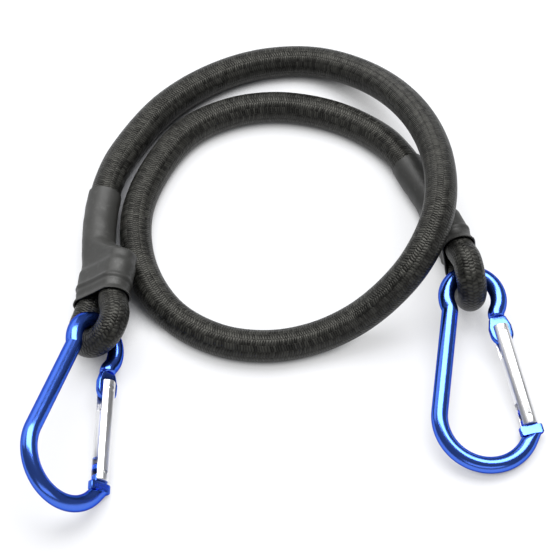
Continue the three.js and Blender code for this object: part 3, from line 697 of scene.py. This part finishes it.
def latheRings(profile, sides):
    # rings round the X axis, one for each (x, radius)
    angles = [2 * math.pi * k / sides for k in range(sides)]
    return [[Vector((x, r * math.cos(angle), r * math.sin(angle))) for angle in angles] for x, r in profile]


def roundOutline(at, radius, count, start=0.0, sweep=2 * math.pi, closed=True):
    steps = count if closed else count - 1
    angles = [start + sweep * k / steps for k in range(count)]
    return [(at[0] + radius * math.cos(angle), at[1] + radius * math.sin(angle)) for angle in angles]


def cutWith(piece, cutter):
    bpy.context.view_layer.objects.active = piece
    modifier = piece.modifiers.new("cut", "BOOLEAN")
    modifier.operation = "DIFFERENCE"
    modifier.solver = "EXACT"
    modifier.object = cutter
    bpy.ops.object.modifier_apply(modifier=modifier.name)
    bpy.data.objects.remove(cutter, do_unlink=True)


def roundEdges(piece):
    bpy.context.view_layer.objects.active = piece
    modifier = piece.modifiers.new("edges", "BEVEL")
    modifier.width = gate["edge"]
    modifier.segments = gate["edgeSegments"]
    modifier.limit_method = "ANGLE"
    modifier.angle_limit = math.radians(gate["edgeAngle"])
    bpy.ops.object.modifier_apply(modifier=modifier.name)


def draftBody():
    draft = makeDraft("bodyDraft", *loft(carabinerRings()))
    cutHalf, notch, length = carabiner["cutHalf"], carabiner["notch"], carabiner["notchLength"]
    cutWith(draft, prism(roundOutline(rivetSpot, carabiner["rivetHole"], carabiner["holeSides"]), cutHalf))
    # the notch is open to the inside, along the pin's way as the gate opens
    outline = roundOutline((0, 0), notch, carabiner["notchSides"], math.pi / 2, -math.pi, False)
    outline += [(-length, -notch), (-length, notch)]
    reach = gate["top"] - gate["bottom"] - gate["rivet"] - gate["pin"]
    turn = math.radians(gate["lean"]) - length / 2 / reach
    spots = [turned(x, y, turn) + pinSpot for x, y in outline]
    cutWith(draft, prism([tuple(spot) for spot in reversed(spots)], cutHalf))
    return draft


def draftGate():
    # drawn along X from the rivet to the nose
    start, end = -gate["rivet"], gate["top"] - gate["bottom"] - gate["rivet"]
    radius, chamfer, steps = gate["radius"], gate["chamfer"], gate["chamferSteps"]
    profile = [(start, radius - chamfer)]
    for k in range(1, steps + 1):
        angle = math.pi / 2 * k / steps
        profile.append((start + chamfer * (1 - math.cos(angle)), radius - chamfer * (1 - math.sin(angle))))
    profile += [(end + start - x, r) for x, r in reversed(profile)]
    draft = makeDraft("gateDraft", *loft(latheRings(profile, gate["sides"])))
    half, past, holeSides = gate["cutHalf"], gate["cutPast"], gate["holeSides"]
    for low, high in ((start - past, gate["pivotSlot"]), (end - gate["noseSlot"], end + past)):
        cutWith(draft, prism([(low, -half), (high, -half), (high, half), (low, half)], gate["slot"] / 2))
    for hole, x in ((gate["rivetHole"], 0.0), (gate["pinHole"], end - gate["pin"])):
        cutWith(draft, prism(roundOutline((x, 0), hole, holeSides), half))
    bore = [(x, gate["boreRadius"]) for x in (gate["pivotSlot"] - past, gate["boreEnd"])]
    cutWith(draft, makeDraft("bore", *loft(latheRings(bore, holeSides))))
    roundEdges(draft)
    toRivet = Matrix.Translation((rivetSpot.x, rivetSpot.y, 0))
    draft.data.transform(toRivet @ Matrix.Rotation(gateAngle, 4, "Z"))
    return draft


def placeCopy(draft, side, name, look, body, node, angle):
    mesh = draft.data.copy()
    mesh.transform(placeOf(side))
    piece = bpy.data.objects.new(side + name, mesh)
    scene.collection.objects.link(piece)
    mesh.materials.clear()
    mesh.materials.append(looks[look])
    smoothByAngle(piece, angle)
    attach(piece, side + body)
    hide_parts(side + node)


bodyDraft, gateDraft = draftBody(), draftGate()
for side in ("left", "right"):
    placeCopy(bodyDraft, side, "CarabinerBody", "blue", "_carabiner", "_carabiner_body",
              carabiner["smoothAngle"])
    placeCopy(gateDraft, side, "GateBar", "silver", "_gate_bar", "_gate",
              gate["smoothAngle"])
for draft in (bodyDraft, gateDraft):
    bpy.data.objects.remove(draft, do_unlink=True)
print("stage: carabiners")


# finishes of the CAD pieces that stay
finishes = {"pivot_rivet": "silver", "gate_latch_pin": "steel", "gate_spring": "steel",
            "spring_plunger": "steel", "crimp_band": "steel"}
for name, look in finishes.items():
    for side in ("left", "right"):
        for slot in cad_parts[side + "_" + name].material_slots:
            slot.material = looks[look]
print("stage: small parts")


# floor, lamps and world
studio = {
    "floor": {"size": 6.0, "drop": 0.00005, "colour": (0.33, 0.335, 0.35), "glow": 0.56,
              "roughness": 0.9, "specular": 0.2},
    # painted shade: the floor's glow dims where Ambient Occlusion finds narrow gaps
    "gapShade": {"reach": 0.02, "samples": 16, "dark": 0.22, "light": 0.5},
    "lamps": {
        "softBox": {"size": (1.7, 1.0), "at": (0.05, 0.55, 1.45), "power": 42.0},
        "backBox": {"size": (2.2, 1.2), "at": (-1.1, 1.1, 0.75), "power": 9.0},
        "frontBox": {"size": (1.4, 0.45), "at": (0.3, -1.25, 0.6), "power": 2.5},
    },
    "sky": {"colour": (0.95, 0.97, 1.0), "strength": 0.22},
}


def makeFloor():
    facts, gapShade = studio["floor"], studio["gapShade"]
    bpy.ops.mesh.primitive_plane_add(size=facts["size"], location=(0, 0, -facts["drop"]))
    floor = bpy.context.object
    floor.name = "floor"
    material, surface = newMaterial("floorWhite", facts["roughness"], 0.0, {
        "Specular IOR Level": facts["specular"], "Base Color": (*facts["colour"], 1)})
    tree = Shade.tree
    # the glow makes the floor white to the camera and in reflections, and it fades in narrow gaps, which
    # paints shade into them
    glow = tree.nodes.new("ShaderNodeEmission")
    glow.inputs["Strength"].default_value = facts["glow"]
    openSky = Shade.node("ShaderNodeAmbientOcclusion", {"samples": gapShade["samples"]},
                         {"Distance": gapShade["reach"]}, "AO")
    tree.links.new(fade(openSky, gapShade["dark"], gapShade["light"]).socket, glow.inputs["Color"])
    both = tree.nodes.new("ShaderNodeAddShader")
    tree.links.new(surface.outputs[0], both.inputs[0])
    tree.links.new(glow.outputs[0], both.inputs[1])
    pick = tree.nodes.new("ShaderNodeMixShader")
    seen, mirrored, through = (Shade.node("ShaderNodeLightPath", out=ray)
                               for ray in ("Is Camera Ray", "Is Glossy Ray", "Is Transmission Ray"))
    tree.links.new(seen.maths("MAXIMUM", mirrored).maths("MAXIMUM", through).socket, pick.inputs[0])
    tree.links.new(surface.outputs[0], pick.inputs[1])
    tree.links.new(both.outputs[0], pick.inputs[2])
    tree.links.new(pick.outputs[0], tree.nodes["Material Output"].inputs[0])
    floor.data.materials.append(material)


def makeLamp(name, facts):
    lamp = bpy.data.objects.new(name, bpy.data.lights.new(name, "AREA"))
    lamp.data.shape = "RECTANGLE"
    lamp.data.size, lamp.data.size_y = facts["size"]
    lamp.data.energy = facts["power"]
    lamp.location = facts["at"]
    lamp.rotation_euler = (-Vector(facts["at"])).to_track_quat("-Z", "Y").to_euler()
    scene.collection.objects.link(lamp)


def makeWorld():
    world = bpy.data.worlds.new("studio")
    scene.world = world
    world.use_nodes = True
    background = world.node_tree.nodes["Background"]
    background.inputs["Color"].default_value = (*studio["sky"]["colour"], 1)
    background.inputs["Strength"].default_value = studio["sky"]["strength"]


makeFloor()
for name, facts in studio["lamps"].items():
    makeLamp(name, facts)
makeWorld()
scene.view_settings.view_transform = "Standard"
print("stage: studio")
